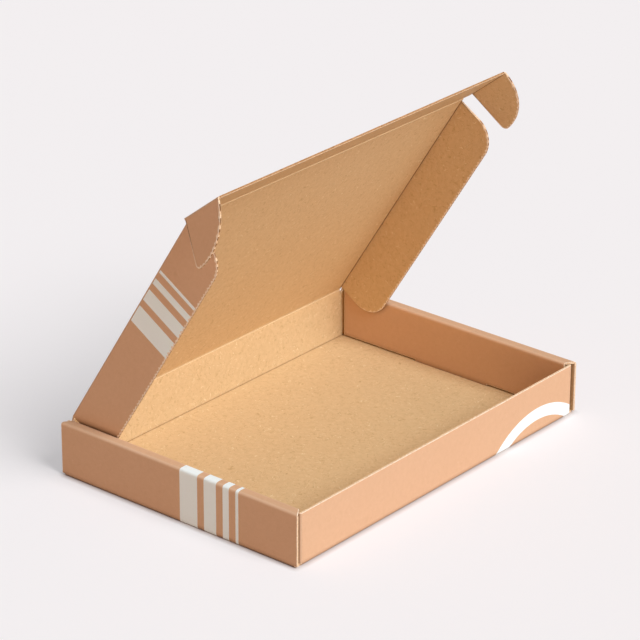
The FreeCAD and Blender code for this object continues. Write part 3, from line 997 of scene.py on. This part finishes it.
class Graph:
    """Nodes of one material or of the world."""

    def __init__(self, owner: bpy.types.Material | bpy.types.World) -> None:
        """Empties the nodes of a material or world.

        Args:
            owner: The material or world.
        """
        self.owner = owner
        self.owner.use_nodes = True
        self.tree = owner.node_tree
        self.tree.nodes.clear()

    def add(self, kind: str, links: dict | None = None, **settings: object) -> bpy.types.Node:
        """Adds a node.

        Args:
            kind: Type of the node without its prefix.
            links: Values or output sockets for its inputs, by name or number.
            settings: Properties of the node.

        Returns:
            The node.
        """
        node = self.tree.nodes.new("ShaderNode" + kind)
        for key, value in settings.items():
            setattr(node, key, value)
        for key, value in (links or {}).items():
            if isinstance(value, Socket):
                self.tree.links.new(value, node.inputs[key])
            else:
                node.inputs[key].default_value = value
        return node

    def math(self, operation: str, *values: object) -> Socket:
        """A sum of plain numbers or sockets."""
        return self.add("Math", dict(enumerate(values)), operation=operation).outputs[0]

    def vector(self, operation: str, *values: object) -> Socket:
        """A sum of vectors. The second value of a scaling is its factor, input 3 of the node."""
        inputs = (0, 3) if operation == "SCALE" else (0, 1, 2)
        return self.add("VectorMath", dict(zip(inputs, values)), operation=operation).outputs[0]

    def ramp(self, value: object, start: float, end: float, first: float = 0.0,
             last: float = 1.0) -> Socket:
        """A straight ramp from the first to the last level while a value goes from start to end."""
        return self.add("MapRange", {0: value, 1: start, 2: end, 3: first, 4: last}).outputs[0]

    def blend(self, share: object, first: object, second: object) -> Socket:
        """Mixes two colours by the share of the second."""
        return self.add("Mix", {0: share, 6: first, 7: second}, data_type="RGBA").outputs[2]

    def between(self, value: Socket, first: float, second: float,
                soft: float = 0.05) -> Socket:
        """One where a value lies between two numbers, with soft edges.

        Args:
            value: The value.
            first: One limit.
            second: The other limit.
            soft: Half the width of an edge.

        Returns:
            Share from 0 to 1.
        """
        off = self.math("ABSOLUTE", self.math("SUBTRACT", value, (first + second) / 2))
        half = abs(second - first) / 2
        return self.ramp(off, half - soft, half + soft, 1.0, 0.0)

    def paper(self, colour: object, roughness: float, relief: Socket,
              strength: float, depth: float) -> bpy.types.Material:
        """Ends a material as matt paper.

        Args:
            colour: Colour of the paper.
            roughness: Roughness of the paper.
            relief: Height of its surface, from 0 to 1.
            strength: Share of the relief that shows.
            depth: Metres that a relief of 1 stands for.

        Returns:
            The material.
        """
        bump = self.add("Bump", {"Height": relief, "Strength": strength, "Distance": depth})
        shader = self.add("BsdfPrincipled", {"Base Color": colour, "Roughness": roughness,
                                             "IOR": 1.45, "Normal": bump.outputs[0]})
        self.add("OutputMaterial", {"Surface": shader.outputs[0]})
        return self.owner


@dataclass(frozen=True)
class Print:
    """White flexo print on the outer liner: four bars of graded width, and a ring arc on the front.
    Its edges wander a little, and dark fibres show through."""

    bars: tuple[tuple[float, float], ...] = ((-3.2, -19.4), (-25.4, -36.6), (-42.6, -48.2),
                                             (-54.2, -56.8))
    end_reach: tuple[float, float] = (156.0, 210.0)
    flap_reach: tuple[float, float] = (146.0, 190.0)
    ring_centre: tuple[float, float] = (112.9, -52.7)
    ring_outer: float = 72.8
    ring_inner: float = 63.3
    wall_reach: tuple[float, float] = (60.0, 0.4)
    colour: str = "F2FDFF"
    wander: float = 0.22
    wander_scale: float = 1.6
    worn: float = 0.05

    def mask(self, graph: Graph, place: Socket) -> Socket:
        """Where the white print lies, from places in the flat blank. The ring is where the root of
        the sum of squares from its centre lies between its two radii.

        Args:
            graph: The material's nodes.
            place: Coordinates in millimetres.

        Returns:
            Share from 0 to 1.
        """
        noise = graph.add("TexNoise", {"Vector": place, "Scale": self.wander_scale,
                                       "Detail": 1.0}).outputs[1]
        moved = graph.vector("SCALE", graph.vector("SUBTRACT", noise, (0.5, 0.5, 0.5)),
                             self.wander)
        parts = graph.add("SeparateXYZ", {0: graph.vector("ADD", place, moved)})
        u, v = parts.outputs[0], parts.outputs[1]
        left = graph.math("MULTIPLY", u, -1.0)
        on_end = graph.between(left, *self.end_reach)
        on_flap = graph.between(left, *self.flap_reach)
        mirror = SIZES.blank_hinge + SIZES.wall_middle
        total: object = 0.0
        for low, high in self.bars:
            for start, end, reach in ((low, high, on_end), (mirror - low, mirror - high, on_flap)):
                bar = graph.math("MULTIPLY", graph.between(v, start, end), reach)
                total = graph.math("MAXIMUM", total, bar)
        centre_u, centre_z = self.ring_centre
        squares = []
        for value, centre in ((u, centre_u), (v, -SIZES.wall_middle - centre_z)):
            off = graph.math("SUBTRACT", value, centre)
            squares.append(graph.math("MULTIPLY", off, off))
        ring = graph.between(graph.math("SQRT", graph.math("ADD", *squares)),
                             self.ring_inner, self.ring_outer)
        wall = graph.between(v, *(-SIZES.wall_middle - reach for reach in self.wall_reach))
        return graph.math("MAXIMUM", total, graph.math("MULTIPLY", ring, wall))


@dataclass(frozen=True)
class Streaks:
    """Noise above a level: waves for each millimetre along the three axes, octaves, the levels
    where a streak starts and is full, and the parts of its strength without and with flecks."""

    stretch: tuple[float, float, float]
    detail: float
    low: float
    high: float
    plain: float
    flecked: float

    def share(self, graph: Graph, place: Socket) -> Socket:
        """How full the streaks are.

        Args:
            graph: The material's nodes.
            place: Coordinates in millimetres.

        Returns:
            Share from 0 to 1.
        """
        noise = graph.add("TexNoise", {"Vector": graph.vector("MULTIPLY", place, self.stretch),
                                       "Scale": 1.0, "Detail": self.detail, "Roughness": 0.55})
        return graph.ramp(noise.outputs[0], self.low, self.high)


@dataclass(frozen=True)
class Kraft:
    """Brown kraft liner: pressed wood fibres, calendered on one side. Clouds and mottle lie
    straight in the sheet, and the fibres wander. On top it carries painted highlights and painted
    shade from the mesh's attribute of painted light, and painted shade in corners where that is
    set."""

    name: str
    colour: str
    dark: str
    light: str
    painted_shade: str = "7A4A22"
    flecks: float = 1.0
    print: Print | None = None
    roughness: float = 0.62
    # strength and reach of the painted shade in corners
    painted_corner_shade: float = 0.0
    corner_reach: float = 0.0045
    clouds: Streaks = Streaks((0.03, 0.03, 1.0), 2.0, 0.3, 0.7, 0.05, 0.0)
    mottle: Streaks = Streaks((0.30, 0.22, 1.0), 4.0, 0.3, 0.7, 0.10, 0.10)
    fibres: Streaks = Streaks((0.95, 0.30, 1.0), 1.0, 0.60, 0.72, 0.0, 0.45)
    crossed: Streaks = Streaks((0.28, 1.05, 2.0), 1.0, 0.61, 0.72, 0.0, 0.40)
    pale: Streaks = Streaks((0.45, 1.1, 3.0), 1.0, 0.64, 0.74, 0.0, 0.75)
    wander: float = 14.0
    wander_scale: float = 0.16
    highlight_strength: float = 0.95
    shade_strength: float = 0.75
    relief: float = 0.25
    relief_depth: float = 0.00006

    def build(self) -> bpy.types.Material:
        """Builds the material.

        Returns:
            The material.
        """
        graph = Graph(bpy.data.materials.new(self.name))
        laid = graph.add("UVMap", uv_map="Blank").outputs[0]
        place = graph.vector("SCALE", laid, 1 / MM)
        noise = graph.add("TexNoise", {"Vector": place, "Scale": self.wander_scale, "Detail": 1.0})
        bent = graph.vector("MULTIPLY_ADD", noise.outputs[1], (self.wander, self.wander, 0.0),
                            place)
        # painted light from the mesh: highlights on beads and folds in the pale tone, shade in
        # creases in the dark shade colour
        press = graph.add("Attribute", attribute_name="Press").outputs["Fac"]
        painted_highlight = graph.math("MAXIMUM", press, 0.0)
        painted_shade = graph.math("MAXIMUM", graph.math("MULTIPLY", press, -1.0), 0.0)
        shades = [(streaks.share(graph, where), streaks.plain + streaks.flecked * self.flecks, tone)
                  for streaks, where, tone in (
                      (self.clouds, place, self.dark), (self.mottle, place, self.dark),
                      (self.fibres, bent, self.dark), (self.crossed, bent, self.dark),
                      (self.pale, bent, self.light))]
        mottle, fibres = shades[1][0], shades[2][0]
        shades += [(painted_highlight, self.highlight_strength, self.light), (painted_shade, self.shade_strength, self.painted_shade)]
        # painted shade in corners: darker where ambient occlusion finds nearby surfaces
        if self.painted_corner_shade:
            free = graph.add("AmbientOcclusion", {"Distance": self.corner_reach}, samples=6)
            shades.append((graph.math("SUBTRACT", 1.0, free.outputs["AO"]), self.painted_corner_shade,
                           self.painted_shade))
        colour = linear(self.colour)
        for share, strength, other in shades:
            colour = graph.blend(graph.math("MULTIPLY", share, strength), colour, linear(other))
        if self.print is not None:
            whole = graph.math("SUBTRACT", 1.0, graph.math("MULTIPLY", fibres, self.print.worn))
            share = graph.math("MULTIPLY", self.print.mask(graph, place), whole)
            colour = graph.blend(share, colour, linear(self.print.colour))
        relief = graph.math("ADD", graph.math("MULTIPLY", fibres, -0.5),
                            graph.math("MULTIPLY", mottle, 0.5))
        return graph.paper(colour, self.roughness, relief, self.relief * self.flecks,
                           self.relief_depth)


@dataclass(frozen=True)
class CutPaper:
    """Paper seen on a cut: torn fibres, paler than the pressed face. The noise has so many waves
    for each metre."""

    name: str
    colour: str
    dark: str
    waves: float = 900.0
    roughness: float = 0.85
    relief: float = 0.5
    relief_depth: float = 0.0001

    def build(self) -> bpy.types.Material:
        """Builds the material.

        Returns:
            The material.
        """
        graph = Graph(bpy.data.materials.new(self.name))
        place = graph.add("TexCoord").outputs["Object"]
        noise = graph.add("TexNoise", {"Vector": place, "Scale": self.waves,
                                       "Detail": 3.0}).outputs[0]
        colour = graph.blend(graph.ramp(noise, 0.35, 0.7), linear(self.colour), linear(self.dark))
        return graph.paper(colour, self.roughness, noise, self.relief, self.relief_depth)


def board_materials() -> Materials:
    """Builds the materials of the board.

    Returns:
        The material of each finish.
    """
    return {
        Finish.OUTER: Kraft("Kraft_liner_outside", "DBB18E", "BA8C65", "EBCCAF", flecks=0.25,
                            print=Print(), painted_corner_shade=0.9).build(),
        Finish.INNER: Kraft("Kraft_liner_inside", "DEBD8F", "AD8552", "F2DEB6").build(),
        Finish.CUT: CutPaper("Kraft_liner_cut", "F0D8B8", "D4AC82").build(),
        Finish.MEDIUM: CutPaper("Fluted_medium", "CFA274", "A87848").build(),
        Finish.WORN: CutPaper("Kraft_liner_worn_edge", "FAEBD8", "E6C6A2").build(),
    }


@dataclass(frozen=True)
class Studio:
    """Pale floor, soft light and the camera."""

    background: str = "F3EFF0"
    camera_place: tuple[float, float, float] = (-1698.416, -1410.69, 1097.365)
    azimuth: float = -50.214
    elevation: float = 24.365
    roll: float = 0.196
    focal: float = 3402.749
    picture: int = 640
    sensor: float = 36.0
    clip: tuple[float, float] = (0.05, 50.0)
    floor_size: float = 12.0
    crevice: float = 0.005
    crevice_power: float = 2.0
    sun_share: float = 0.4
    sun_strength: float = 2.9
    sun_colour: tuple[float, float, float] = (0.95, 1.07, 1.17)
    sun_angle: float = 32.0
    sun_elevation: float = 44.0
    sun_azimuth: float = 0.0
    sky: float = 2.05
    sky_colour: tuple[float, float, float] = (1.0, 0.69, 0.48)
    sky_top: float = 0.1
    sky_front: float = 0.3
    sky_power: float = 5.0

    def build_camera(self) -> None:
        """Builds the camera from its place and three angles."""
        azimuth, elevation = math.radians(self.azimuth), math.radians(self.elevation)
        back = unit(math.sin(azimuth) * math.cos(elevation),
                    -math.cos(azimuth) * math.cos(elevation), math.sin(elevation))
        right = np.cross(-back, Z_AXIS)
        right /= np.linalg.norm(right)
        right, up = turned(right, np.cross(back, right), self.roll)
        data = bpy.data.cameras.new("camera")
        data.sensor_width = self.sensor
        data.lens = self.focal / self.picture * self.sensor
        data.clip_start, data.clip_end = self.clip
        camera = bpy.data.objects.new("camera", data)
        matrix = np.identity(4)
        matrix[:3] = np.stack([right, up, back, np.array(self.camera_place) * MM], 1)
        camera.matrix_world = Matrix(matrix.tolist())
        bpy.context.scene.collection.objects.link(camera)
        bpy.context.scene.camera = camera

    def build_floor(self) -> None:
        """Builds the floor. Its paper is so grey that the sun gives its share of the pale
        background, and rays from the camera see a little light of its own for what the sky then
        leaves over. So the lit floor has the background's colour and the shadow stays neutral. The
        light of its own fades in crevices, which paints a contact shade beside the box. The sky's
        mean, weighted by the height, is its top share plus the rest times 2 over (power + 1) times
        (power + 2)."""
        half = self.floor_size / 2
        mesh = bpy.data.meshes.new("floor")
        mesh.from_pydata([(-half, -half, 0), (half, -half, 0), (half, half, 0), (-half, half, 0)],
                         [], [(0, 1, 2, 3)])
        floor = bpy.data.objects.new("floor", mesh)
        bpy.context.scene.collection.objects.link(floor)
        graph = Graph(bpy.data.materials.new("Backdrop_paper"))
        wanted = np.array(linear(self.background)[:3])
        sun = (self.sun_strength / math.pi * math.sin(math.radians(self.sun_elevation))
               * np.array(self.sun_colour))
        level = self.sun_share * wanted / sun
        mean = 2 / ((self.sky_power + 1) * (self.sky_power + 2))
        above = self.sky * (self.sky_top + (1 - self.sky_top) * mean) * np.array(self.sky_colour)
        own = np.clip(wanted - level * (sun + above), 0, 1)
        seen = graph.add("LightPath").outputs["Is Camera Ray"]
        paper = graph.add("BsdfDiffuse", {"Color": (*level.tolist(), 1.0)})
        # painted contact shade: the floor's own light dims where ambient occlusion finds the box
        free = graph.add("AmbientOcclusion", {"Distance": self.crevice}).outputs["AO"]
        free = graph.math("POWER", free, self.crevice_power)
        glow = graph.add("Emission", {"Color": (*own.tolist(), 1.0),
                                      "Strength": graph.math("MULTIPLY", seen, free)})
        total = graph.add("AddShader", {0: paper.outputs[0], 1: glow.outputs[0]})
        graph.add("OutputMaterial", {"Surface": total.outputs[0]})
        mesh.materials.append(graph.owner)

    def build_light(self) -> None:
        """Builds the studio's walls of light and one large soft lamp in front. The walls are
        brightest at the floor: their light is a top share plus the rest times a power of one
        minus the height, and it grows towards the front."""
        world = bpy.data.worlds.new("studio")
        graph = Graph(world)
        height = graph.add("SeparateXYZ", {0: graph.add("TexCoord").outputs["Generated"]})
        low = graph.math("SUBTRACT", 1.0, graph.math("MAXIMUM", height.outputs[2], 0.0))
        share = graph.math("ADD", self.sky_top, graph.math(
            "MULTIPLY", 1 - self.sky_top, graph.math("POWER", low, self.sky_power)))
        front = graph.math("SUBTRACT", 1.0, graph.math("MULTIPLY", height.outputs[1],
                                                       self.sky_front))
        strength = graph.math("MULTIPLY", graph.math("MULTIPLY", share, front), self.sky)
        fill = graph.add("Background", {0: (*self.sky_colour, 1.0), 1: strength})
        seen = graph.add("Background", {0: linear(self.background), 1: 1.0})
        mixed = graph.add("MixShader", {0: graph.add("LightPath").outputs["Is Camera Ray"],
                                        1: fill.outputs[0], 2: seen.outputs[0]})
        graph.add("OutputWorld", {0: mixed.outputs[0]})
        bpy.context.scene.world = world
        data = bpy.data.lights.new("key", "SUN")
        data.energy = self.sun_strength
        data.color = self.sun_colour
        data.angle = math.radians(self.sun_angle)
        lamp = bpy.data.objects.new("key", data)
        lamp.rotation_euler = (math.radians(90 - self.sun_elevation), 0,
                               math.radians(self.sun_azimuth))
        bpy.context.scene.collection.objects.link(lamp)

    def build(self) -> None:
        """Builds the studio."""
        bpy.context.scene.view_settings.view_transform = "Standard"
        self.build_camera()
        self.build_floor()
        self.build_light()


def main() -> None:
    """Builds the box and the studio."""
    logging.basicConfig(level=logging.INFO, format="%(name)s %(message)s")
    materials = board_materials()
    Studio().build()
    Tray(materials).build()
    Lid(materials).build()


if __name__ == "__main__":
    main()
